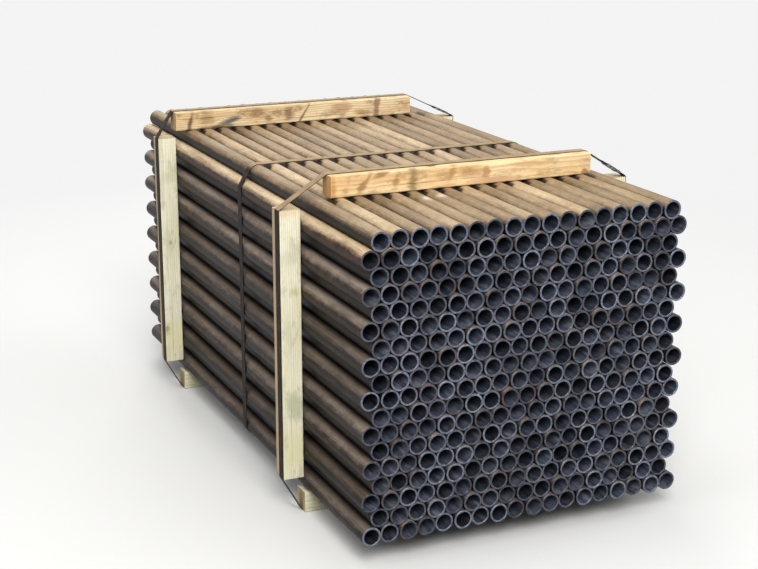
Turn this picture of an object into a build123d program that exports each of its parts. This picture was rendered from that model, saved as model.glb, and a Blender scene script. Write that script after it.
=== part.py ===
from build123d import *
from math import atan2, cos, radians, sin, sqrt
import os

# A bundle of round steel pipes nested in staggered rows. Two frames of square timber
# are strapped round it, and a third steel strap lies straight on the pipes.
# Millimetres. X runs across the bundle, Y along the pipes and Z up, with the origin on
# the floor under the middle of the bundle.

# Pipes
pipe_outer_diameter = 33.4
pipe_wall = 3.38
pipe_length = 1219.2
pipe_gap = 0.3
row_count = 18
bottom_row_pipes = 18

# The pipe ends are knocked nearly flush: each pipe sits one of a few steps along Y
end_scatter = 3.0
scatter_steps = 3
row_stride = 5
pipe_stride = 3

# Timbers
timber_size = 38.0
timber_edge_radius = 2.0
front_top_length = 508.0
rear_top_length = 534.0
rear_top_shift = -40.0
runner_overhang = 2.0
side_foot_rise = 27.0

# Straps
strap_width = 19.0
strap_thickness = 0.9
bed_side_clearance = 1.0
bed_recess = 0.5

# Where the three straps go round, from the middle of the pipes' length
front_strap_y = -343.0
middle_strap_y = -42.0
rear_strap_y = 368.0
timber_offset = 8.0

# Folded seals that join each strap's two ends
seal_length = 32.0
seal_sheet = 0.9
seal_mouth = 6.0
seal_notch_width = 5.0
seal_notch_depth = 3.0
seal_notch_spacing = 14.0
seal_foot_distance = 32.0
tail_stub = 14.0

# Room left between pieces that rest on each other
seat_gap = 0.3

pipe_radius = pipe_outer_diameter / 2
bore_radius = pipe_radius - pipe_wall
pitch = pipe_outer_diameter + pipe_gap
row_rise = pitch * sqrt(3) / 2
pipes_underside = timber_size + seat_gap
bottom_row_z = pipes_underside + pipe_radius
top_row_z = bottom_row_z + (row_count - 1) * row_rise
pipes_top = top_row_z + pipe_radius
half_width = (bottom_row_pipes - 1) * pitch / 2 + pipe_radius
side_inner_x = half_width + seat_gap
side_outer_x = side_inner_x + timber_size
side_foot_z = pipes_underside + side_foot_rise
side_top_z = top_row_z
runner_half_length = half_width + runner_overhang
timber_top_z = pipes_top + seat_gap + timber_size
bed_depth = seat_gap + strap_thickness + bed_recess


def pipes_in_row(row):
    """Rows count from 1 at the bottom, and every second row has one pipe less."""
    return bottom_row_pipes - (row - 1) % 2


def row_z(row):
    return bottom_row_z + (row - 1) * row_rise


def pipe_x(row, number):
    return (number - 1 - (pipes_in_row(row) - 1) / 2) * pitch


def end_shift(row, number):
    """How far a pipe stands along Y from the middle of the bundle."""
    step = (row * row_stride + number * pipe_stride) % (2 * scatter_steps + 1)
    return (step - scatter_steps) / scatter_steps * end_scatter


def pipe():
    ring = Circle(pipe_radius) - Circle(bore_radius)
    return extrude(Plane.XZ * ring, amount=pipe_length / 2, both=True)


def pipe_row(row):
    """One layer of pipes, each its own solid, a pipe gap apart."""
    blank = pipe()
    return [
        Pos(pipe_x(row, number), end_shift(row, number), row_z(row)) * blank
        for number in range(1, pipes_in_row(row) + 1)
    ]


def timber(x_low, x_high, y_centre, z_low, z_high, grain):
    """A square timber with its long edges, the ones along grain, lightly rounded."""
    block = Box(x_high - x_low, timber_size, z_high - z_low)
    block = fillet(block.edges().filter_by(grain), timber_edge_radius)
    return Pos((x_low + x_high) / 2, y_centre, (z_low + z_high) / 2) * block


def top_timber(length, shift, strap_y):
    """Lies across the crests of the top row, its far half under the strap."""
    return timber(
        shift - length / 2, shift + length / 2, strap_y - timber_offset,
        pipes_top + seat_gap, timber_top_z, Axis.X,
    )


def bottom_timber(strap_y):
    """The runner that the bundle stands on, with a channel for the strap along its underside."""
    runner = timber(-runner_half_length, runner_half_length, strap_y, 0, timber_size, Axis.X)
    channel_width = strap_width + 2 * bed_side_clearance
    channel = Pos(0, strap_y, 0) * Box(2 * runner_half_length, channel_width, 2 * bed_depth)
    return runner - channel


def side_timber(side, strap_y):
    """Stands against the widest rows' outer pipes. side is -1 on the left and 1 on the right."""
    x_low, x_high = sorted((side * side_inner_x, side * side_outer_x))
    return timber(x_low, x_high, strap_y + timber_offset, side_foot_z, side_top_z, Axis.Z)


def turns_left(a, b, c):
    return (b[0] - a[0]) * (c[1] - a[1]) - (b[1] - a[1]) * (c[0] - a[0]) > 0


def half_hull(points):
    chain = []
    for point in points:
        while len(chain) > 1 and not turns_left(chain[-2], chain[-1], point):
            chain.pop()
        chain.append(point)
    return chain[:-1]


def convex_outline(points):
    """The corners that a tight strap pulls over, as a closed convex outline in X and Z."""
    ordered = sorted(set(points))
    return half_hull(ordered) + half_hull(ordered[::-1])


def strap_loop(points, reach, strap_y):
    """A closed band pulled tight round the points, its inner face that far outside them."""
    outline = make_face(Polyline(*convex_outline(points), close=True))
    inner = offset(outline, amount=reach, kind=Kind.ARC)
    outer = offset(outline, amount=reach + strap_thickness, kind=Kind.ARC)
    band = extrude(Plane.XZ * (outer - inner), amount=strap_width / 2, both=True)
    return Pos(0, strap_y, 0) * band


def frame_corners(top_length, top_shift):
    """What a frame's strap bears on: the timbers' outer corners, and the runner's channel."""
    half_top = top_length / 2
    return [
        (top_shift - half_top, timber_top_z), (top_shift + half_top, timber_top_z),
        (-side_outer_x, side_top_z), (side_outer_x, side_top_z),
        (-side_outer_x, side_foot_z), (side_outer_x, side_foot_z),
        (-runner_half_length, bed_depth), (runner_half_length, bed_depth),
    ]


def corner_pipe_centres():
    """The outer pipes of the bottom row and of the top two rows, which shape the bundle's outline."""
    centres = []
    for row in (1, row_count - 1, row_count):
        last = pipes_in_row(row)
        centres += [(pipe_x(row, 1), row_z(row)), (pipe_x(row, last), row_z(row))]
    return centres


def strap_plane(origin_x, origin_z, angle, strap_y):
    """A plane on the strap's inner face: x along the strap, y across it and z outwards."""
    return Plane(
        origin=(origin_x, strap_y, origin_z),
        x_dir=(cos(angle), 0, sin(angle)),
        z_dir=(-sin(angle), 0, cos(angle)),
    )


def strap_tail(plane):
    """The strap's other end, lapped over the first and held in the seal."""
    size = (seal_length + 2 * tail_stub, strap_width, strap_thickness)
    return plane * (Pos(0, 0, strap_thickness * 3 / 2) * Box(*size))


def seal(plane):
    """A folded sleeve round both layers of strap, open along its back, crimped by notches."""
    inside_width = strap_width + 2 * seat_gap
    inside_height = 2 * strap_thickness + 2 * seat_gap
    outside_width = inside_width + 2 * seal_sheet
    outside_height = inside_height + 2 * seal_sheet
    sleeve = Box(seal_length, outside_width, outside_height)
    sleeve -= Box(seal_length, inside_width, inside_height)
    sleeve -= Pos(0, 0, -outside_height / 2) * Box(seal_length, seal_mouth, outside_height)
    edge = outside_width / 2
    half_notch = seal_notch_width / 2
    for side in (-1, 1):
        for place in (-seal_notch_spacing / 2, seal_notch_spacing / 2):
            corners = [
                (place - half_notch, side * edge),
                (place + half_notch, side * edge),
                (place, side * (edge - seal_notch_depth)),
            ]
            wedge = make_face(Polyline(*corners, close=True))
            sleeve -= extrude(wedge, amount=outside_height, both=True)
    return plane * (Pos(0, 0, strap_thickness) * sleeve)


def frame_seal_plane(top_length, top_shift, strap_y):
    """Low on the free run of strap between the top timber and the right side timber."""
    run_x = side_outer_x - (top_shift + top_length / 2)
    run_z = side_top_z - timber_top_z
    run = sqrt(run_x**2 + run_z**2)
    angle = atan2(run_z, run_x)
    origin_x = side_outer_x - run_x / run * seal_foot_distance - seat_gap * sin(angle)
    origin_z = side_top_z - run_z / run * seal_foot_distance + seat_gap * cos(angle)
    return strap_plane(origin_x, origin_z, angle, strap_y)


def middle_seal_plane():
    """On the right flank, in the hollow that a shorter row leaves behind the strap."""
    short_row = row_count // 4 * 2
    return strap_plane(side_inner_x, row_z(short_row), radians(-90), middle_strap_y)


def frame_pieces(place, top_length, top_shift, strap_y):
    seal_plane = frame_seal_plane(top_length, top_shift, strap_y)
    loop = strap_loop(frame_corners(top_length, top_shift), seat_gap, strap_y)
    return {
        f"{place}_top_board": [top_timber(top_length, top_shift, strap_y)],
        f"{place}_bottom_board": [bottom_timber(strap_y)],
        f"{place}_left_board": [side_timber(-1, strap_y)],
        f"{place}_right_board": [side_timber(1, strap_y)],
        f"{place}_strap": [loop + strap_tail(seal_plane)],
        f"{place}_strap_seal": [seal(seal_plane)],
    }


def middle_pieces():
    seal_plane = middle_seal_plane()
    loop = strap_loop(corner_pipe_centres(), pipe_radius + seat_gap, middle_strap_y)
    return {
        "middle_strap": [loop + strap_tail(seal_plane)],
        "middle_strap_seal": [seal(seal_plane)],
    }


def solids_of(shapes):
    return [solid for shape in shapes for solid in shape.solids()]


def main():
    pieces = {f"pipe_row_{row:02d}": pipe_row(row) for row in range(1, row_count + 1)}
    pieces |= frame_pieces("front", front_top_length, 0, front_strap_y)
    pieces |= frame_pieces("rear", rear_top_length, rear_top_shift, rear_strap_y)
    pieces |= middle_pieces()
    os.makedirs("parts", exist_ok=True)
    for name, shapes in pieces.items():
        solids = solids_of(shapes)
        node = solids[0] if len(solids) == 1 else Compound(children=solids)
        export_step(node, f"parts/{name}.step")


main()
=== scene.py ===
import math

import bpy
import numpy as np
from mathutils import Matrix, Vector, noise


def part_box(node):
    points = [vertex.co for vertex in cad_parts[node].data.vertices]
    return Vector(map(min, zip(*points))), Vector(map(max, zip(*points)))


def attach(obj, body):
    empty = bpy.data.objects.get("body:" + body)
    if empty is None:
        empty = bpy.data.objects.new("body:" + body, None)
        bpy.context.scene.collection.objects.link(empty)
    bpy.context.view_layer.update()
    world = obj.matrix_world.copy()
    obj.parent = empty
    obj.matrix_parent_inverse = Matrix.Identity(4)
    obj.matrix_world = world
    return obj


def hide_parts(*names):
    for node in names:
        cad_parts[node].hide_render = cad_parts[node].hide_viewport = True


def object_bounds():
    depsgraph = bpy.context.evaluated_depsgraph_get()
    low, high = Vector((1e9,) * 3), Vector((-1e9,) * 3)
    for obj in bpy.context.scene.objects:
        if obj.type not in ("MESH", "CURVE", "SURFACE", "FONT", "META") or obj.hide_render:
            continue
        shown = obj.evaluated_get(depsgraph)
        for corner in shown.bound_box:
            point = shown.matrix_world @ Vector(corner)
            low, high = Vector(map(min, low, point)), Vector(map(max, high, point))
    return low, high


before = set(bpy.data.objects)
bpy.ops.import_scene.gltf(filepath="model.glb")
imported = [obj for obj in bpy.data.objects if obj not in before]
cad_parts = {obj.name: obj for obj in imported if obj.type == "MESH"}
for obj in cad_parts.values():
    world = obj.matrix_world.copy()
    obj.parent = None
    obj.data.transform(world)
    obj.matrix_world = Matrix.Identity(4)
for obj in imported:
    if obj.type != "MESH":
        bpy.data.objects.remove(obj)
cad_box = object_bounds()

MM = 0.001


def srgb(red, green, blue):
    """A colour read off in 0 to 255 steps, as the linear colour that a shader takes."""
    def linear(step):
        value = step / 255
        return value / 12.92 if value <= 0.04045 else ((value + 0.055) / 1.055) ** 2.4
    return (linear(red), linear(green), linear(blue), 1.0)


# Where the photograph was taken from, in metres, and how much of the view the bundle fills
CAMERA_PLACE = Vector((-1.242, -2.778, 1.162))
CAMERA_AIM_LIFT = -0.012
LENS_MM = 75.0
SENSOR_MM = 36.0

# The studio's round lamps: name, place and watts
LAMP_SIZE = 2.4
LAMP_AIM = Vector((0.0, 0.0, 0.3))
LAMPS = (
    ("key", (-1.1, -3.5, 3.0), 170.0),
    ("top", (-0.6, 0.2, 3.9), 26.0),
    ("left", (-3.4, -0.6, 2.2), 28.0),
    ("right", (3.4, -0.6, 2.2), 45.0),
    ("back", (0.4, 3.6, 2.4), 72.0),
)

# The floor turns into the plain backdrop between these distances from the bundle. It is seen
# paler than the tone in which it throws light back on the bundle.
FLOOR_SIZE = 40.0
FLOOR_REACH = 0.9
FLOOR_FADE = 2.6
FLOOR_ROUGHNESS = 0.85
FLOOR_SEEN = srgb(228, 227, 224)
FLOOR_THROWN = srgb(150, 149, 147)
BACKDROP = (0.90, 0.90, 0.90, 1.0)
SKY = (0.94, 0.97, 1.0, 1.0)
SKY_STRENGTH = 0.32

# Specular levels: the usual one, and low ones because dry wood, mill scale and strapping are dull
USUAL_SHINE = 0.5
WOOD_SHINE = 0.25
SCALE_SHINE = 0.12
STRAP_SHINE = 0.06

# Pipe meshes
RING_SPANS = 36
OUTER_CHAMFER = 0.5 * MM
BORE_CHAMFER = 0.4 * MM
WELD_HALF_ANGLE = 0.10
WELD_POINTS = 5
WELD_BEAD_HEIGHT = 0.7 * MM
PIPE_SHARP_ANGLE = math.radians(30)

# A pipe's finishes, in the order of its materials
SIDE, CUT, BORE = 0, 1, 2

# Each pipe draws a turn, a seed and a tone from 0 to 1. The seed moves it to its own patch of
# the noise, and two of its multiples decide how bright its sawn ends and its bore are.
CHANCE_SEED = 11
SEED_REACH = 60.0
END_DRAW = 37.0
BORE_DRAW = 53.0

# The pipe that has gathered the most dust, as its row and its place from the left
PALE_PIPE = ("pipe_row_17", 0)
PALE_TONE = 1.25

# Noise on the pipes, in patches to the metre
STREAKS = 420.0
PATCHES = 30.0
BLOTCHES = 110.0
SPECKLE = 1200.0
SAW_LINES = 260.0
END_STAINS = 120.0
BORE_STREAKS = 120.0

# Noise on the straps and seals, in patches to the metre
STRAP_BLOTCHES = 60.0
STRAP_SCRATCHES = 900.0
STRAP_RUST_SPOTS = 130.0

# Heights above the floor, and distances from the middle plane, between which the dust on the
# pipes, the painted shade on their flanks and the painted shadow in their top hollows change
SKYWARD_HEIGHTS = (0.500, 0.530)
DUSTY_HEIGHTS = (0.05, 0.53)
FLANK_START = (0.262, 0.268)
FLANK_HOLLOWS = (0.281, 0.296)
FLANK_TOP = (0.505, 0.522)
TOP_HOLLOWS = (0.538, 0.546)
TOP_HOLLOWS_END = (0.256, 0.268)

# Front edges, along Y, of what lies across the top row: a painted shadow lies in the hollows
# there, rising and falling between these distances in front of each
CROSSINGS = (-0.370, -0.0515, 0.341)
SHADOW_STARTS = (-0.009, 0.001)
SHADOW_ENDS = (0.030, 0.045)

# Pale scrapes on two crests in front of the front timber, this far below the bundle's top, and
# how fast they fade along each axis
SCRAPES = ((-0.103, -0.428), (-0.070, -0.420))
SCRAPE_DEPTH = 0.039
SCRAPE_FADE = (130.0, 50.0, 60.0)

# Colours of the steel, from the noise's dark end to its light end
MILL_SCALE = ((0.36, srgb(9, 8, 8)), (0.47, srgb(18, 16, 15)),
              (0.56, srgb(34, 30, 28)), (0.67, srgb(70, 64, 60)))
DUST_ON_TOP = ((0.36, srgb(120, 98, 72)), (0.47, srgb(158, 133, 100)),
               (0.57, srgb(190, 164, 128)), (0.68, srgb(226, 204, 167)))
DUST_ON_SIDES = ((0.36, srgb(96, 82, 70)), (0.47, srgb(127, 112, 98)),
                 (0.57, srgb(155, 140, 125)), (0.68, srgb(182, 168, 152)))
SAWN_END = ((0.35, srgb(64, 69, 81)), (0.52, srgb(93, 99, 113)), (0.68, srgb(136, 142, 155)))
INSIDE = ((0.35, srgb(43, 47, 58)), (0.52, srgb(71, 76, 88)), (0.68, srgb(109, 112, 122)))
STRAPPING = ((0.34, srgb(15, 11, 9)), (0.50, srgb(24, 19, 16)), (0.66, srgb(48, 40, 34)))
SEAL_STEEL = ((0.34, srgb(88, 88, 88)), (0.50, srgb(118, 118, 118)), (0.66, srgb(152, 152, 150)))

# Single colours, or a dark and a light one
PIPE_RUST = (srgb(58, 32, 22), srgb(118, 70, 46))
PIPE_SEAM = srgb(52, 54, 62)
PIPE_SPECKS = srgb(34, 28, 25)
# Painted shade for the hollows and undersides of the flanks' pipes
FLANK_PAINTED_SHADE = srgb(15, 12, 11)
# Painted shadow in the top row's hollows in front of the straps and timbers
TOP_PAINTED_SHADOW = srgb(34, 21, 15)
SCRAPED = srgb(232, 220, 200)
END_RUST = srgb(90, 68, 58)
STRAP_RUST = srgb(88, 54, 36)
STRAP_DUST = (srgb(152, 128, 96), srgb(199, 173, 135))
# Wood for the outer side faces: weathered to tan, and darker with painted shade
WEATHERED_AND_SHADED_WOOD = (srgb(138, 100, 66), srgb(214, 168, 118))

# Timber meshes
SECTION_STEP = 4.0 * MM
FACE_POINTS = 11
CORNER_POINTS = 5
CORNER_RADIUS = 2.0 * MM
CAP_SCALES = (0.72, 0.4)
TIMBER_SHARP_ANGLE = math.radians(38)
GRAIN_AXES = {"X": (1, 2, 0), "Z": (0, 1, 2)}

# How deep a sawn face waves and is torn, and how fast that changes across and along it
PLANING_WAVE = 0.26 * MM
WAVE_ACROSS, WAVE_ALONG, WAVE_SEED = 45, 14, 7.3
SAW_ROUGHNESS = 0.16 * MM
TOOTH_ACROSS, TOOTH_ALONG = 420, 130
CRACK_RIPPLES = 160
WANE_RIPPLE = 0.5 * MM
WANE_RIPPLES = 60

# The growth rings, and the noise in the wood in patches to the metre
RINGS = 260.0
RING_WOBBLE = 22.0
RING_WOBBLE_DEPTH = 0.014
FIBRES = 900.0
CLOUDS = 34.0
SMUDGES = 46.0
GRIME_SPECKS = 320.0
STAIN_EDGES = 190.0
SAW_MARKS = 420.0


class Recipe:
    """One procedural material, built up node by node around a Principled shader."""

    def __init__(self, name):
        self.material = bpy.data.materials.new(name)
        self.material.use_nodes = True
        self.tree = self.material.node_tree
        self.tree.nodes.clear()
        self.output = self.add("ShaderNodeOutputMaterial")
        self.shader = self.add("ShaderNodeBsdfPrincipled")
        self.put(self.output.inputs["Surface"], self.shader.outputs["BSDF"])

    def add(self, kind, **settings):
        node = self.tree.nodes.new(kind)
        for key, value in settings.items():
            setattr(node, key, value)
        return node

    def put(self, socket, value):
        """Links value if it is another node's socket, and otherwise sets it."""
        if isinstance(value, bpy.types.NodeSocket):
            self.tree.links.new(value, socket)
        else:
            socket.default_value = value

    def position(self):
        return self.add("ShaderNodeTexCoord").outputs["Object"]

    def normal(self):
        return self.add("ShaderNodeNewGeometry").outputs["Normal"]

    def attribute(self, name):
        return self.add("ShaderNodeAttribute", attribute_name=name).outputs["Fac"]

    def math(self, operation, *values, clamp=False):
        node = self.add("ShaderNodeMath", operation=operation, use_clamp=clamp)
        for socket, value in zip(node.inputs, values):
            self.put(socket, value)
        return node.outputs[0]

    def plus(self, *values):
        total = values[0]
        for value in values[1:]:
            total = self.math("ADD", total, value)
        return total

    def times(self, first, second):
        return self.math("MULTIPLY", first, second)

    def weighted(self, *parts):
        """The sum of values, each with its weight."""
        return self.plus(*(self.times(value, weight) for value, weight in parts))

    def centred(self, value):
        return self.math("SUBTRACT", value, 0.5)

    def draw(self, chance, multiple):
        """Another number from 0 to 1 for each pipe, drawn from its own chance."""
        return self.math("FRACT", self.times(chance, multiple))

    def vector(self, operation, *values):
        node = self.add("ShaderNodeVectorMath", operation=operation)
        for socket, value in zip(node.inputs, values):
            self.put(socket, value)
        return node.outputs["Value" if operation == "LENGTH" else "Vector"]

    def split(self, vector):
        node = self.add("ShaderNodeSeparateXYZ")
        self.put(node.inputs[0], vector)
        return tuple(node.outputs)

    def join(self, x, y, z):
        node = self.add("ShaderNodeCombineXYZ")
        for socket, value in zip(node.inputs, (x, y, z)):
            self.put(socket, value)
        return node.outputs[0]

    def drawn(self, vector, share):
        """Stretches a pattern along the pipes: the smaller the share, the longer it gets."""
        return self.vector("MULTIPLY", vector, (1.0, share, 1.0))

    def turned(self, vector, angle):
        node = self.add("ShaderNodeVectorRotate", rotation_type="Z_AXIS")
        self.put(node.inputs["Vector"], vector)
        node.inputs["Angle"].default_value = angle
        return node.outputs[0]

    def noise(self, vector, scale, detail=3.0, roughness=0.55, seed=None):
        """Noise from about 0 to 1. A seed socket moves each pipe to its own patch of it."""
        node = self.add("ShaderNodeTexNoise", noise_dimensions="3D" if seed is None else "4D")
        self.put(node.inputs["Vector"], vector)
        if seed is not None:
            self.put(node.inputs["W"], seed)
        for name, value in (("Scale", scale), ("Detail", detail), ("Roughness", roughness)):
            node.inputs[name].default_value = value
        return node.outputs["Fac"]

    def ease(self, value, low, high, start=0.0, end=1.0):
        """Runs smoothly from start to end while value goes from low to high."""
        node = self.add("ShaderNodeMapRange", interpolation_type="SMOOTHSTEP")
        for socket, item in zip(node.inputs, (value, low, high, start, end)):
            self.put(socket, item)
        return node.outputs[0]

    def mix(self, factor, first, second, blend="MIX"):
        node = self.add("ShaderNodeMix", data_type="RGBA", blend_type=blend, clamp_factor=True)
        for index, value in ((0, factor), (6, first), (7, second)):
            self.put(node.inputs[index], value)
        return node.outputs[2]

    def shaded(self, colour, shade):
        return self.mix(1.0, colour, self.join(shade, shade, shade), "MULTIPLY")

    def ramp(self, value, *stops):
        """Colours at their places along value, from 0 to 1."""
        node = self.add("ShaderNodeValToRGB")
        elements = node.color_ramp.elements
        while len(elements) < len(stops):
            elements.new(0.5)
        for element, (place, colour) in zip(elements, stops):
            element.position = place
            element.color = colour
        self.put(node.inputs[0], value)
        return node.outputs[0]

    def bump(self, height, distance, strength=1.0):
        node = self.add("ShaderNodeBump")
        self.put(node.inputs["Height"], height)
        node.inputs["Distance"].default_value = distance
        node.inputs["Strength"].default_value = strength
        return node.outputs["Normal"]

    def finish(self, colour, roughness, metallic=0.0, normal=None, shine=USUAL_SHINE):
        self.put(self.shader.inputs["Base Color"], colour)
        self.put(self.shader.inputs["Roughness"], roughness)
        self.put(self.shader.inputs["Metallic"], metallic)
        self.shader.inputs["Specular IOR Level"].default_value = shine
        if normal is not None:
            self.put(self.shader.inputs["Normal"], normal)
        return self.material


def pipe_outside():
    """Dark mill scale with drawn streaks, a film of rust, and dust on what faces up."""
    r = Recipe("pipe_mill_scale")
    place = r.position()
    seed = r.times(r.attribute("pipe_seed"), SEED_REACH)
    tone = r.attribute("pipe_tone")
    streaks = r.noise(r.drawn(place, 0.02), STREAKS, 4.0, 0.65, seed)
    patches = r.noise(r.drawn(place, 0.16), PATCHES, 4.0, 0.65, seed)
    blotches = r.noise(r.drawn(place, 0.5), BLOTCHES, 5.0, 0.72, seed)
    speckle = r.noise(place, SPECKLE, 3.0, 0.65)
    up = r.split(r.normal())[2]
    x, y, height = r.split(place)
    beside = r.math("ABSOLUTE", x)

    colour = r.ramp(r.weighted((patches, 0.45), (streaks, 0.3), (blotches, 0.25)), *MILL_SCALE)
    rust = r.ease(r.plus(blotches, r.times(tone, 0.12)), 0.56, 0.72, 0.0, 0.42)
    colour = r.mix(rust, colour, r.mix(speckle, *PIPE_RUST))
    colour = r.mix(r.times(r.attribute("pipe_seam"), 0.5), colour, PIPE_SEAM)

    ragged = r.weighted((r.centred(patches), 0.5), (r.centred(blotches), 0.4),
                        (r.centred(streaks), 0.6))
    facing_up = r.ease(r.plus(up, ragged), 0.16, 0.88)
    dust = r.times(facing_up, r.ease(height, *DUSTY_HEIGHTS, 0.64, 0.92))
    scratched = r.ease(streaks, 0.54, 0.64, 1.0, 0.66)
    grainy = r.ease(speckle, 0.44, 0.66, 1.0, 0.74)
    dust = r.math("MULTIPLY", dust, r.times(scratched, grainy), clamp=True)
    dust_tone = r.weighted((patches, 0.35), (blotches, 0.2), (streaks, 0.3), (tone, 0.15))
    dust_colour = r.mix(r.ease(height, *SKYWARD_HEIGHTS), r.ramp(dust_tone, *DUST_ON_SIDES),
                        r.ramp(dust_tone, *DUST_ON_TOP))
    colour = r.mix(dust, colour, dust_colour)
    colour = r.shaded(colour, r.plus(0.88, r.times(tone, 0.22)))
    colour = r.mix(r.ease(speckle, 0.58, 0.72, 0.0, 0.5), colour, PIPE_SPECKS)

    # Painted shade: the hollows between the flanks' outer pipes, and every surface that faces
    # down, are darkened
    deep = r.times(r.ease(beside, *FLANK_HOLLOWS, 1.0, 0.0), r.ease(height, *FLANK_TOP, 1.0, 0.0))
    under = r.ease(up, -0.6, 0.1, 0.8, 0.0)
    flank_shade = r.times(r.math("MAXIMUM", deep, under), r.ease(beside, *FLANK_START, 0.0, 0.88))
    colour = r.mix(flank_shade, colour, FLANK_PAINTED_SHADE)

    # Painted shadow: the top row's hollows darken just in front of each strap and timber across
    # them
    shadowed_hollow = r.times(r.ease(up, 0.76, 0.96, 1.0, 0.0), r.ease(height, *TOP_HOLLOWS))
    shadowed_hollow = r.times(shadowed_hollow, r.ease(beside, *TOP_HOLLOWS_END, 0.9, 0.0))
    for crossing in CROSSINGS:
        before = r.plus(y, -crossing, r.times(blotches, 0.016))
        near = r.times(r.ease(before, *SHADOW_STARTS), r.ease(before, *SHADOW_ENDS, 1.0, 0.0))
        colour = r.mix(r.times(near, shadowed_hollow), colour, TOP_PAINTED_SHADOW)
    for scrape_x, scrape_y in SCRAPES:
        middle = (scrape_x, scrape_y, cad_box[1][2] - SCRAPE_DEPTH)
        away = r.vector("MULTIPLY", r.vector("SUBTRACT", place, middle), SCRAPE_FADE)
        away = r.plus(r.vector("LENGTH", away), r.times(blotches, 2.2))
        colour = r.mix(r.ease(away, 1.2, 2.3, 0.8, 0.0), colour, SCRAPED)

    roughness = r.plus(0.42, r.times(dust, 0.16), r.times(blotches, 0.1))
    relief = r.bump(r.plus(r.times(speckle, 0.6), blotches), 0.16 * MM, 0.6)
    metallic = r.times(r.math("SUBTRACT", 1.0, r.math("MAXIMUM", dust, flank_shade)), 0.3)
    return r.finish(colour, roughness, metallic, relief, SCALE_SHINE)


def pipe_cut_end():
    """Sawn steel gone dull, no two ends alike, with saw lines and a little rust."""
    r = Recipe("pipe_sawn_end")
    place = r.position()
    chance = r.attribute("pipe_seed")
    seed = r.times(chance, SEED_REACH)
    lines = r.noise(r.vector("MULTIPLY", place, (1.0, 1.0, 9.0)), SAW_LINES, 2.0, 0.5, seed)
    stain = r.noise(place, END_STAINS, 3.0, 0.6, seed)
    colour = r.shaded(r.ramp(lines, *SAWN_END), r.ease(r.draw(chance, END_DRAW), 0, 1, 0.44, 1.42))
    colour = r.shaded(colour, r.ease(stain, 0.36, 0.64, 0.66, 1.34))
    rusty = r.plus(stain, r.times(r.attribute("pipe_tone"), 0.2))
    colour = r.mix(r.ease(rusty, 0.62, 0.8, 0.0, 0.6), colour, END_RUST)
    return r.finish(colour, 0.42, 0.55, r.bump(lines, 0.08 * MM, 0.6), USUAL_SHINE)


def pipe_bore():
    """The dark, rough inside of a pipe."""
    r = Recipe("pipe_bore")
    chance = r.attribute("pipe_seed")
    seed = r.times(chance, SEED_REACH)
    scale = r.noise(r.drawn(r.position(), 0.15), BORE_STREAKS, 4.0, 0.6, seed)
    colour = r.shaded(r.ramp(scale, *INSIDE), r.ease(r.draw(chance, BORE_DRAW), 0, 1, 0.45, 1.7))
    return r.finish(colour, 0.5, 0.3, r.bump(scale, 0.2 * MM, 0.6), SCALE_SHINE)


def flat_steel(name, colours, roughness, metallic):
    """Thin rolled steel: dusty where it faces up, scratched, and a little rusty."""
    r = Recipe(name)
    place = r.position()
    blotches = r.noise(place, STRAP_BLOTCHES, 4.0, 0.65)
    along_strap = r.vector("MULTIPLY", place, (0.12, 1.0, 0.12))
    scratches = r.noise(along_strap, STRAP_SCRATCHES, 3.0, 0.6)
    lightest = colours[-1][1]
    colour = r.ramp(blotches, *colours)
    colour = r.mix(r.ease(scratches, 0.56, 0.66, 0.0, 0.5), colour, lightest)
    rust = r.noise(place, STRAP_RUST_SPOTS, 4.0, 0.65)
    colour = r.mix(r.ease(rust, 0.56, 0.70, 0.0, 0.35), colour, STRAP_RUST)
    up = r.ease(r.split(r.normal())[2], 0.45, 0.98)
    dust = r.times(up, r.ease(blotches, 0.30, 0.62, 0.66, 0.92))
    colour = r.mix(dust, colour, r.mix(scratches, *STRAP_DUST))
    roughness = r.plus(roughness, r.times(dust, 0.3))
    metallic = r.math("SUBTRACT", metallic, r.times(dust, 0.2))
    return r.finish(colour, roughness, metallic, r.bump(scratches, 0.06 * MM, 0.5), STRAP_SHINE)


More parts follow.
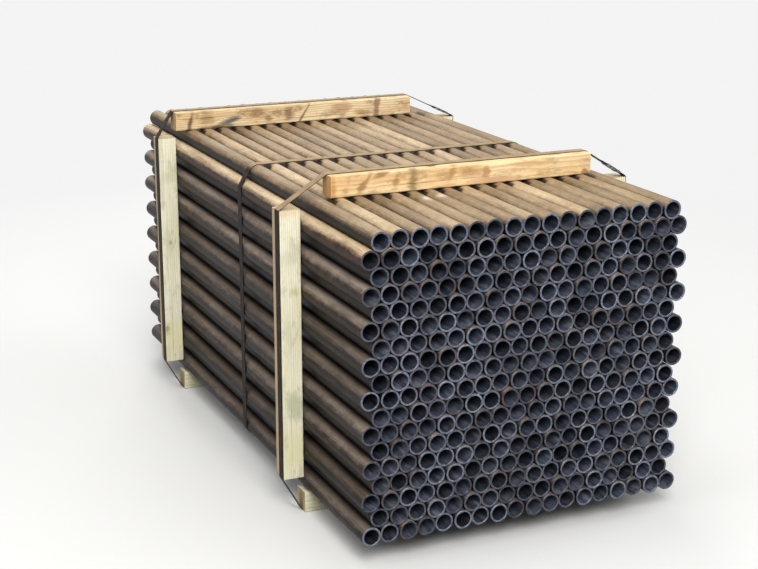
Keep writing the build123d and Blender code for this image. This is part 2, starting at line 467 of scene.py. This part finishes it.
def timber_wood(name, node, grain, pith, palette, knots=(), stains=(), outer=0):
    """Sawn softwood as a solid: growth rings about a pith line that runs along the grain.

    Places are metres from the timber's middle. pith is the line's offset along the two
    axes across the grain. A knot is (place along the timber, radius, angle round it). A
    stain lies on the front face: (place along, place across, half length, half width,
    turn, colour, strength). outer is -1 or 1 where the face to the left or right is weathered
    to tan and darkened with painted shade.
    """
    r = Recipe(name)
    low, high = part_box(node)
    axes = GRAIN_AXES[grain]
    half = (high - low)[axes[0]] / 2
    parts = r.split(r.vector("SUBTRACT", r.position(), tuple((low + high) / 2)))
    across, aside, along = (parts[axis] for axis in axes)
    in_front, over_face = (across, aside) if grain == "X" else (aside, across)

    slow = r.join(across, aside, r.times(along, 0.18))
    fibre = r.join(across, aside, r.times(along, 0.035))
    wobble = r.centred(r.noise(slow, RING_WOBBLE, 3.0, 0.55))
    from_pith = r.vector("SUBTRACT", r.join(across, aside, 0.0), (*pith, 0.0))
    distance = r.plus(r.vector("LENGTH", from_pith), r.times(wobble, RING_WOBBLE_DEPTH))

    knot_shade = 0.0
    for place, radius, angle in knots:
        beside = r.math("SUBTRACT", r.times(across, math.sin(angle)),
                        r.times(aside, math.cos(angle)))
        lengthwise = r.times(r.math("SUBTRACT", along, place), 0.75)
        reach = r.vector("LENGTH", r.join(beside, lengthwise, 0.0))
        reach = r.plus(reach, r.times(wobble, radius * 1.2))
        swirl = r.ease(reach, radius * 0.6, radius * 3.4, 1.0, 0.0)
        distance = r.plus(distance, r.times(swirl, radius * 0.8))
        heart = r.ease(reach, radius * 0.7, radius * 1.3, 0.75, 0.0)
        knot_shade = r.math("MAXIMUM", knot_shade, r.plus(heart, r.times(swirl, 0.16)))

    rings = r.math("FRACT", r.times(distance, RINGS))
    late = r.times(r.ease(rings, 0.30, 0.88), r.ease(rings, 0.92, 1.0, 1.0, 0.0))
    fibres = r.noise(fibre, FIBRES, 3.0, 0.6)
    clouds = r.noise(slow, CLOUDS, 4.0, 0.65)
    colour = r.mix(r.ease(clouds, 0.3, 0.7), palette["pale"], palette["body"])
    colour = r.mix(r.times(late, 0.5), colour, palette["late"])
    colour = r.mix(r.times(r.ease(fibres, 0.42, 0.72), 0.35), colour, palette["late"])

    end = r.ease(r.math("ABSOLUTE", r.split(r.normal())[axes[2]]), 0.6, 0.9)
    colour = r.mix(r.times(end, 0.8), colour, r.mix(late, palette["end"], palette["end_late"]))
    if knots:
        colour = r.mix(knot_shade, colour, palette["knot"])
    # Painted shade, in part: the outer side face is weathered to tan and also darkened as a shaded
    # side
    if outer:
        weathered_and_shaded = r.ease(r.times(r.split(r.normal())[0], outer), 0.7, 0.95, 0.0, 0.7)
        colour = r.mix(weathered_and_shaded, colour, r.mix(clouds, *WEATHERED_AND_SHADED_WOOD))
    smudges = r.noise(r.join(across, aside, r.times(along, 0.4)), SMUDGES, 4.0, 0.75)
    smudges = r.ease(smudges, 0.50, 0.66)
    colour = r.mix(r.times(smudges, palette["smudged"]), colour, palette["dirt"])
    grime = r.ease(r.noise(r.position(), GRIME_SPECKS, 3.0, 0.7), 0.58, 0.72, 0.0, 0.28)
    colour = r.mix(grime, colour, palette["dirt"])

    near_front = r.ease(in_front, -half, 0.0, 1.0, 0.0)
    torn = r.weighted((clouds, 2.0), (r.noise(slow, STAIN_EDGES, 3.0, 0.7), 1.6))
    ragged = r.math("SUBTRACT", torn, 1.8)
    over = r.join(along, over_face, 0.0)
    for place, height, length, width, turn, stain, strength in stains:
        away = r.turned(r.vector("SUBTRACT", over, (place, height, 0.0)), turn)
        away = r.vector("LENGTH", r.vector("MULTIPLY", away, (1 / length, 1 / width, 0.0)))
        spot = r.ease(r.plus(away, ragged), 0.35, 1.2, strength, 0.0)
        colour = r.mix(r.times(spot, near_front), colour, stain)

    crosswise = r.join(r.times(across, 0.12), r.times(aside, 0.12), along)
    saw = r.noise(crosswise, SAW_MARKS, 2.0, 0.5)
    relief = r.weighted((late, 0.5), (fibres, 0.9), (saw, 0.6))
    roughness = r.plus(0.66, r.times(fibres, 0.2))
    return r.finish(colour, roughness, 0.0, r.bump(relief, 0.35 * MM, 0.8), WOOD_SHINE)


def mesh_piece(name, vertices, faces, materials, smooth_angle, face_materials=None):
    """A new piece of the bundle from plain lists, riding on its one body."""
    mesh = bpy.data.meshes.new(name)
    mesh.from_pydata(vertices, [], faces)
    for material in materials:
        mesh.materials.append(material)
    if face_materials is not None:
        mesh.polygons.foreach_set("material_index", face_materials)
    mesh.polygons.foreach_set("use_smooth", [True] * len(faces))
    mesh.set_sharp_from_angle(angle=smooth_angle)
    mesh.update()
    piece = bpy.data.objects.new(name, mesh)
    bpy.context.scene.collection.objects.link(piece)
    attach(piece, "root")
    return piece


def row_pipes(node):
    """Each pipe of a CAD row: middle across, near and far end, height, and its two radii."""
    points = np.array([vertex.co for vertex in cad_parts[node].data.vertices])
    low, high = points.min(0), points.max(0)
    radius = (high[2] - low[2]) / 2
    width = high[0] - low[0]
    count = int(width / (2 * radius))
    pitch = (width - 2 * radius) / (count - 1)
    centre_z = (low[2] + high[2]) / 2
    pipes = []
    for number in range(count):
        centre_x = low[0] + radius + number * pitch
        own = points[np.abs(points[:, 0] - centre_x) <= radius]
        bore = np.hypot(own[:, 0] - centre_x, own[:, 2] - centre_z).min()
        pipes.append((centre_x, own[:, 1].min(), own[:, 1].max(), centre_z, radius, bore))
    return pipes


def ring_steps():
    """Angles round a pipe from its weld seam, closer together there, and the seam's height."""
    seam = np.linspace(-WELD_HALF_ANGLE, WELD_HALF_ANGLE, WELD_POINTS)
    rest = np.arange(1, RING_SPANS) * 2 * math.pi / RING_SPANS
    angles = np.concatenate([seam, rest])
    heights = np.zeros(len(angles))
    heights[:len(seam)] = (1 + np.cos(seam / WELD_HALF_ANGLE * math.pi)) / 2
    return angles, heights


def pipe_mesh(centre_x, near, far, centre_z, radius, bore, turn):
    """One pipe as rings of points along a closed profile, with a bead of weld down its bore."""
    profile = (
        (bore, near + BORE_CHAMFER), (bore + BORE_CHAMFER, near),
        (radius - OUTER_CHAMFER, near), (radius, near + OUTER_CHAMFER),
        (radius, far - OUTER_CHAMFER), (radius - OUTER_CHAMFER, far),
        (bore + BORE_CHAMFER, far), (bore, far - BORE_CHAMFER),
    )
    finishes = (CUT, CUT, CUT, SIDE, CUT, CUT, CUT, BORE)
    angles, heights = ring_steps()
    vertices = []
    for ring, place in profile:
        bead = WELD_BEAD_HEIGHT if ring <= bore + BORE_CHAMFER else 0.0
        vertices += [
            (centre_x + (ring - bead * height) * math.cos(turn + angle), place,
             centre_z + (ring - bead * height) * math.sin(turn + angle))
            for angle, height in zip(angles, heights)
        ]
    count = len(angles)
    faces = []
    face_materials = []
    for span, finish in enumerate(finishes):
        first = span * count
        second = (span + 1) % len(profile) * count
        for step in range(count):
            after = (step + 1) % count
            faces.append((first + step, first + after, second + after, second + step))
            face_materials.append(finish)
    return vertices, faces, face_materials, list(heights) * len(profile)


def pipe_rows(chance):
    """Every row of pipes, with each pipe's own seed and tone kept on its points."""
    materials = [pipe_outside(), pipe_cut_end(), pipe_bore()]
    for node in sorted(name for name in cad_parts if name.startswith("pipe_row_")):
        vertices, faces, finishes = [], [], []
        values = {"pipe_seed": [], "pipe_tone": [], "pipe_seam": []}
        for number, pipe in enumerate(row_pipes(node)):
            turn, seed, tone = chance.uniform(0, 1, 3)
            if (node, number) == PALE_PIPE:
                tone = PALE_TONE
            own, own_faces, own_finishes, seam = pipe_mesh(*pipe, turn * 2 * math.pi)
            first = len(vertices)
            vertices += own
            faces += [tuple(first + corner for corner in face) for face in own_faces]
            finishes += own_finishes
            values["pipe_seed"] += [seed] * len(own)
            values["pipe_tone"] += [tone] * len(own)
            values["pipe_seam"] += seam
        piece = mesh_piece(node.replace("pipe_row", "pipes"), vertices, faces, materials,
                           PIPE_SHARP_ANGLE, finishes)
        for name, numbers in values.items():
            piece.data.attributes.new(name, "FLOAT", "POINT").data.foreach_set("value", numbers)
        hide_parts(node)


def section_profile(half, cracks):
    """Points round a square section, as (place, place, outwards, outwards, crack or None).

    Side 0 faces the first axis across the grain, side 1 the second, and 2 and 3 their
    opposites. cracks are (side, place across that side, width).
    """
    points = []
    flat = half - CORNER_RADIUS
    for side in range(4):
        angle = side * math.pi / 2
        out = (math.cos(angle), math.sin(angle))
        places = [(place, None) for place in np.linspace(-flat, flat, FACE_POINTS)]
        for index, (crack_side, middle, width) in enumerate(cracks):
            if crack_side == side:
                places = [p for p in places if abs(p[0] - middle) > width]
                places += [(middle - width / 2, None), (middle, index), (middle + width / 2, None)]
        for place, crack in sorted(places, key=lambda item: item[0]):
            points.append((out[0] * half - out[1] * place, out[1] * half + out[0] * place,
                           *out, crack))
        corner = ((out[0] - out[1]) * flat, (out[1] + out[0]) * flat)
        for step in range(1, CORNER_POINTS):
            turn = angle + step / CORNER_POINTS * math.pi / 2
            round_out = (math.cos(turn), math.sin(turn))
            points.append((corner[0] + CORNER_RADIUS * round_out[0],
                           corner[1] + CORNER_RADIUS * round_out[1], *round_out, None))
    return points


def sunk(u, v, along, seed):
    """How far a sawn face lies below its true plane."""
    wave = noise.noise(Vector((u * WAVE_ACROSS, v * WAVE_ACROSS,
                               along * WAVE_ALONG + seed * WAVE_SEED)))
    tooth = noise.noise(Vector((u * TOOTH_ACROSS, v * TOOTH_ACROSS, along * TOOTH_ALONG + seed)))
    return max(0.0, PLANING_WAVE * (0.5 - wave) + SAW_ROUGHNESS * (0.3 - tooth))


def crack_depth(crack, along, seed):
    """A drying crack ripples along its bottom and runs out at both its ends."""
    _, _, _, depth, start, end = crack
    inside = max(0.0, min(along - start, end - along) / (end - start) * 2)
    ripple = 0.7 + 0.3 * math.sin(along * CRACK_RIPPLES + seed)
    return depth * min(1.0, inside * 2.2) * ripple


def cut_by_wane(u, v, wane, along, half, seed):
    """A bark-side corner: the section is cut off where the wane is deeper than the corner."""
    corner, depth, middle, reach = wane
    angle = math.pi / 4 + corner * math.pi / 2
    fade = math.exp(-((along - middle) / reach) ** 2)
    ripple = WANE_RIPPLE * fade * noise.noise(Vector((along * WANE_RIPPLES, seed, corner)))
    past = u * math.cos(angle) + v * math.sin(angle) - half * math.sqrt(2) + depth * fade - ripple
    past = max(0.0, past)
    return u - math.cos(angle) * past, v - math.sin(angle) * past


def timber_piece(node, grain, material, seed, cracks=(), wanes=()):
    """A rough-sawn timber in its CAD timber's place, with drying cracks and wane.

    A crack is (side, place across the side, width, depth, start, end), and a wane is
    (corner, depth, middle, reach), in metres from the timber's middle.
    """
    low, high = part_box(node)
    middle = (low + high) / 2
    axes = GRAIN_AXES[grain]
    half = (high - low)[axes[0]] / 2
    length = (high - low)[axes[2]]
    profile = section_profile(half, [crack[:3] for crack in cracks])
    sections = int(length / SECTION_STEP)
    vertices = []

    def place(u, v, along):
        point = [0.0, 0.0, 0.0]
        for axis, value in zip(axes, (u, v, along)):
            point[axis] = middle[axis] + value
        return tuple(point)

    for section in range(sections + 1):
        along = (section / sections - 0.5) * length
        for u, v, out_u, out_v, crack in profile:
            depth = sunk(u, v, along, seed)
            if crack is not None:
                depth += crack_depth(cracks[crack], along, seed)
            u_now, v_now = u - out_u * depth, v - out_v * depth
            for wane in wanes:
                u_now, v_now = cut_by_wane(u_now, v_now, wane, along, half, seed)
            vertices.append(place(u_now, v_now, along))
    count = len(profile)
    faces = [
        (s * count + i, s * count + (i + 1) % count,
         (s + 1) * count + (i + 1) % count, (s + 1) * count + i)
        for s in range(sections) for i in range(count)
    ]
    for end, first in ((-0.5, 0), (0.5, sections * count)):
        ring = list(range(first, first + count))
        rims = vertices[first:first + count]
        for scale in CAP_SCALES:
            inner = list(range(len(vertices), len(vertices) + count))
            vertices += [
                tuple(middle[axis] + (rim[axis] - middle[axis]) * (1 if axis == axes[2] else scale)
                      for axis in range(3))
                for rim in rims
            ]
            faces += [facing(end, ring[i], ring[(i + 1) % count], inner[(i + 1) % count], inner[i])
                      for i in range(count)]
            ring = inner
        centre = len(vertices)
        vertices.append(place(0, 0, end * length))
        faces += [facing(end, ring[i], ring[(i + 1) % count], centre) for i in range(count)]
    piece = mesh_piece(node.replace("_board", "_timber"), vertices, faces, [material],
                       TIMBER_SHARP_ANGLE)
    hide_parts(node)


def facing(end, *corners):
    """A cap's face, wound so that it faces out of that end."""
    return corners if end > 0 else corners[::-1]


# The colours of the timbers' wood, and how much of it is smudged
WARM = {
    "pale": srgb(252, 228, 182), "body": srgb(236, 200, 146), "late": srgb(208, 164, 106),
    "end": srgb(220, 172, 110), "end_late": srgb(162, 110, 60), "knot": srgb(142, 96, 56),
    "dirt": srgb(172, 136, 92), "smudged": 0.55,
}
WEATHERED = {
    "pale": srgb(248, 230, 188), "body": srgb(224, 194, 146), "late": srgb(186, 150, 104),
    "end": srgb(200, 164, 114), "end_late": srgb(138, 102, 64), "knot": srgb(116, 82, 54),
    "dirt": srgb(128, 106, 78), "smudged": 0.68,
}
CREAM = {
    "pale": srgb(252, 248, 224), "body": srgb(238, 232, 200), "late": srgb(212, 201, 162),
    "end": srgb(206, 180, 134), "end_late": srgb(156, 124, 82), "knot": srgb(158, 128, 88),
    "dirt": srgb(178, 172, 138), "smudged": 0.45,
}

# Stains on the timbers' front faces, as timber_wood takes them
FRONT_STAINS = (
    (-0.250, 0.0, 0.008, 0.040, 0.0, srgb(196, 138, 72), 0.8),
    (-0.228, -0.008, 0.009, 0.007, 0.0, srgb(188, 144, 98), 0.7),
    (-0.197, -0.003, 0.008, 0.016, 0.5, srgb(160, 118, 76), 0.85),
    (-0.186, 0.009, 0.016, 0.005, -0.9, srgb(176, 134, 88), 0.8),
    (-0.163, 0.013, 0.020, 0.007, -0.2, srgb(158, 120, 74), 0.85),
    (-0.133, 0.001, 0.008, 0.016, 0.3, srgb(172, 126, 78), 0.8),
    (-0.101, 0.0, 0.012, 0.040, 0.0, srgb(146, 122, 78), 0.85),
    (-0.027, 0.006, 0.009, 0.018, 0.5, srgb(176, 130, 80), 0.75),
    (0.010, 0.006, 0.030, 0.012, 0.0, srgb(186, 142, 94), 0.75),
    (0.041, 0.004, 0.008, 0.011, 0.0, srgb(174, 130, 76), 0.7),
    (0.060, -0.015, 0.035, 0.008, 0.0, srgb(200, 156, 122), 0.55),
    (0.130, 0.010, 0.040, 0.006, 0.05, srgb(204, 160, 108), 0.6),
    (0.243, -0.014, 0.010, 0.010, 0.0, srgb(150, 104, 60), 0.8),
)
REAR_STAINS = (
    (-0.236, -0.002, 0.007, 0.040, 0.25, srgb(84, 64, 48), 0.85),
    (-0.200, 0.004, 0.020, 0.018, 0.0, srgb(158, 124, 86), 0.7),
    (-0.146, -0.005, 0.028, 0.008, -0.25, srgb(84, 88, 96), 0.9),
    (-0.092, 0.006, 0.034, 0.015, 0.1, srgb(154, 116, 82), 0.65),
    (-0.064, -0.006, 0.012, 0.010, 0.4, srgb(126, 96, 70), 0.7),
    (-0.018, 0.002, 0.015, 0.016, 0.3, srgb(132, 98, 76), 0.85),
    (0.018, 0.0, 0.003, 0.034, 0.6, srgb(104, 80, 56), 0.75),
    (0.100, 0.004, 0.026, 0.012, 0.0, srgb(176, 130, 92), 0.65),
    (0.150, -0.008, 0.018, 0.007, 0.2, srgb(170, 132, 86), 0.6),
    (0.187, 0.0, 0.007, 0.036, 0.1, srgb(136, 96, 66), 0.75),
    (0.256, 0.0, 0.009, 0.012, 0.0, srgb(198, 140, 100), 0.65),
)
SIDE_STAINS = (
    (0.246, -0.004, 0.014, 0.040, 0.1, srgb(228, 190, 136), 0.5),
    (0.162, 0.006, 0.016, 0.022, 0.3, srgb(204, 202, 168), 0.55),
    (0.098, 0.006, 0.012, 0.010, 0.0, srgb(190, 188, 140), 0.7),
    (0.020, -0.004, 0.040, 0.010, 0.1, srgb(206, 206, 170), 0.6),
    (-0.108, 0.002, 0.030, 0.016, 0.2, srgb(186, 188, 154), 0.75),
    (-0.190, 0.0, 0.045, 0.030, 0.0, srgb(230, 222, 170), 0.6),
)


def timbers():
    """Eight sawn timbers, each with its own grain, knots, stains, cracks and corners."""
    wood = timber_wood("wood_front_top", "front_top_board", "X", (0.034, -0.022), WARM,
                       knots=((0.118, 0.005, 1.2), (-0.060, 0.006, 1.8)), stains=FRONT_STAINS)
    timber_piece("front_top_board", "X", wood, 1.0,
                 cracks=((2, 0.006, 1.0 * MM, 3.0 * MM, -0.16, 0.06),
                         (1, -0.004, 1.2 * MM, 4.0 * MM, -0.254, -0.05)),
                 wanes=((1, 3.5 * MM, 0.05, 0.12), (2, 1.5 * MM, -0.20, 0.07)))
    wood = timber_wood("wood_rear_top", "rear_top_board", "X", (0.016, -0.040), WEATHERED,
                       knots=((-0.150, 0.006, 1.4),), stains=REAR_STAINS)
    timber_piece("rear_top_board", "X", wood, 2.0,
                 cracks=((2, -0.004, 1.4 * MM, 5.0 * MM, -0.267, -0.16),
                         (2, 0.009, 1.2 * MM, 4.0 * MM, -0.03, 0.12),
                         (1, 0.003, 1.2 * MM, 5.0 * MM, -0.267, -0.02)),
                 wanes=((2, 4.0 * MM, -0.18, 0.05), (0, 4.0 * MM, 0.12, 0.08)))
    for number, side in enumerate(("front_left", "rear_left", "front_right", "rear_right")):
        seed = 3.0 + number
        pith = (0.030 * math.cos(seed * 2.1), 0.034 * math.sin(seed * 1.3))
        knots = ((0.11 - 0.09 * number, 0.004, 1.6 * seed + 1.4), (-0.17, 0.005, seed))
        stains = SIDE_STAINS if side == "front_left" else SIDE_STAINS[number::2]
        outer = -1 if side.endswith("left") else 1
        wood = timber_wood(f"wood_{side}", f"{side}_board", "Z", pith, CREAM, knots, stains, outer)
        timber_piece(f"{side}_board", "Z", wood, seed,
                     cracks=((2, 0.005, 0.9 * MM, 2.5 * MM, -0.02, 0.23),
                             (3, -0.003, 0.8 * MM, 2.0 * MM, -0.24, -0.08)),
                     wanes=((number, 3.0 * MM, 0.1 - 0.07 * number, 0.1),))
    for number, place in enumerate(("front", "rear")):
        wood = timber_wood(f"wood_{place}_bottom", f"{place}_bottom_board", "X",
                           (0.026, 0.034), CREAM, knots=((-0.12 + 0.2 * number, 0.006, 3.0),))
        timber_piece(f"{place}_bottom_board", "X", wood, 7.0 + number,
                     cracks=((2, 0.0, 1.0 * MM, 3.0 * MM, -0.30, -0.16),))


def straps():
    """The straps and seals keep their CAD shape: dark strapping, and seals of paler steel."""
    strap = flat_steel("strap_steel", STRAPPING, 0.52, 0.2)
    seal = flat_steel("seal_steel", SEAL_STEEL, 0.38, 0.6)
    for name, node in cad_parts.items():
        if "strap" in name:
            node.data.materials.clear()
            node.data.materials.append(seal if name.endswith("_seal") else strap)


def seen_rays(tree):
    """1 for the rays that show the backdrop: to the camera, in a reflection or through glass."""
    rays = tree.nodes.new("ShaderNodeLightPath").outputs
    total = rays["Is Camera Ray"]
    for name in ("Is Glossy Ray", "Is Transmission Ray"):
        either = tree.nodes.new("ShaderNodeMath")
        either.operation = "ADD"
        either.use_clamp = True
        tree.links.new(total, either.inputs[0])
        tree.links.new(rays[name], either.inputs[1])
        total = either.outputs[0]
    return total


def floor_and_backdrop():
    """A plain pale floor that keeps the bundle's shadow and runs out into a white backdrop."""
    r = Recipe("pale_floor")
    shown = seen_rays(r.tree)
    r.finish(r.mix(shown, FLOOR_THROWN, FLOOR_SEEN), FLOOR_ROUGHNESS)
    glow = r.add("ShaderNodeEmission")
    glow.inputs["Color"].default_value = BACKDROP
    fade = r.ease(r.vector("LENGTH", r.position()), FLOOR_REACH, FLOOR_FADE)
    blend = r.add("ShaderNodeMixShader")
    r.put(blend.inputs[0], r.times(fade, shown))
    r.put(blend.inputs[1], r.shader.outputs["BSDF"])
    r.put(blend.inputs[2], glow.outputs[0])
    r.put(r.output.inputs["Surface"], blend.outputs[0])

    mesh = bpy.data.meshes.new("floor")
    side = FLOOR_SIZE / 2
    mesh.from_pydata([(-side, -side, 0), (side, -side, 0), (side, side, 0), (-side, side, 0)],
                     [], [(0, 1, 2, 3)])
    mesh.materials.append(r.material)
    floor = bpy.data.objects.new("floor", mesh)
    bpy.context.scene.collection.objects.link(floor)

    world = bpy.data.worlds.new("studio")
    world.use_nodes = True
    nodes, links = world.node_tree.nodes, world.node_tree.links
    nodes.clear()
    output = nodes.new("ShaderNodeOutputWorld")
    lighting = nodes.new("ShaderNodeBackground")
    lighting.inputs["Color"].default_value = SKY
    lighting.inputs["Strength"].default_value = SKY_STRENGTH
    backdrop = nodes.new("ShaderNodeBackground")
    backdrop.inputs["Color"].default_value = BACKDROP
    chooser = nodes.new("ShaderNodeMixShader")
    links.new(seen_rays(world.node_tree), chooser.inputs[0])
    links.new(lighting.outputs[0], chooser.inputs[1])
    links.new(backdrop.outputs[0], chooser.inputs[2])
    links.new(chooser.outputs[0], output.inputs["Surface"])
    bpy.context.scene.world = world


def lights():
    """Soft round lamps, each aimed at the middle of the bundle."""
    for name, place, watts in LAMPS:
        light = bpy.data.lights.new(name, "AREA")
        light.shape = "DISK"
        light.size = LAMP_SIZE
        light.energy = watts
        lamp = bpy.data.objects.new(name, light)
        lamp.location = place
        aim = LAMP_AIM - Vector(place)
        lamp.rotation_euler = aim.to_track_quat("-Z", "Y").to_euler()
        bpy.context.scene.collection.objects.link(lamp)


def camera():
    low, high = (Vector(corner) for corner in cad_box)
    aim = (low + high) / 2 + Vector((0, 0, CAMERA_AIM_LIFT))
    data = bpy.data.cameras.new("camera")
    data.sensor_width = SENSOR_MM
    data.lens = LENS_MM
    eye = bpy.data.objects.new("camera", data)
    eye.location = CAMERA_PLACE
    eye.rotation_euler = (aim - CAMERA_PLACE).to_track_quat("-Z", "Y").to_euler()
    bpy.context.scene.collection.objects.link(eye)
    bpy.context.scene.camera = eye


pipe_rows(np.random.RandomState(CHANCE_SEED))
timbers()
straps()
floor_and_backdrop()
lights()
camera()
bpy.context.scene.view_settings.view_transform = "Standard"
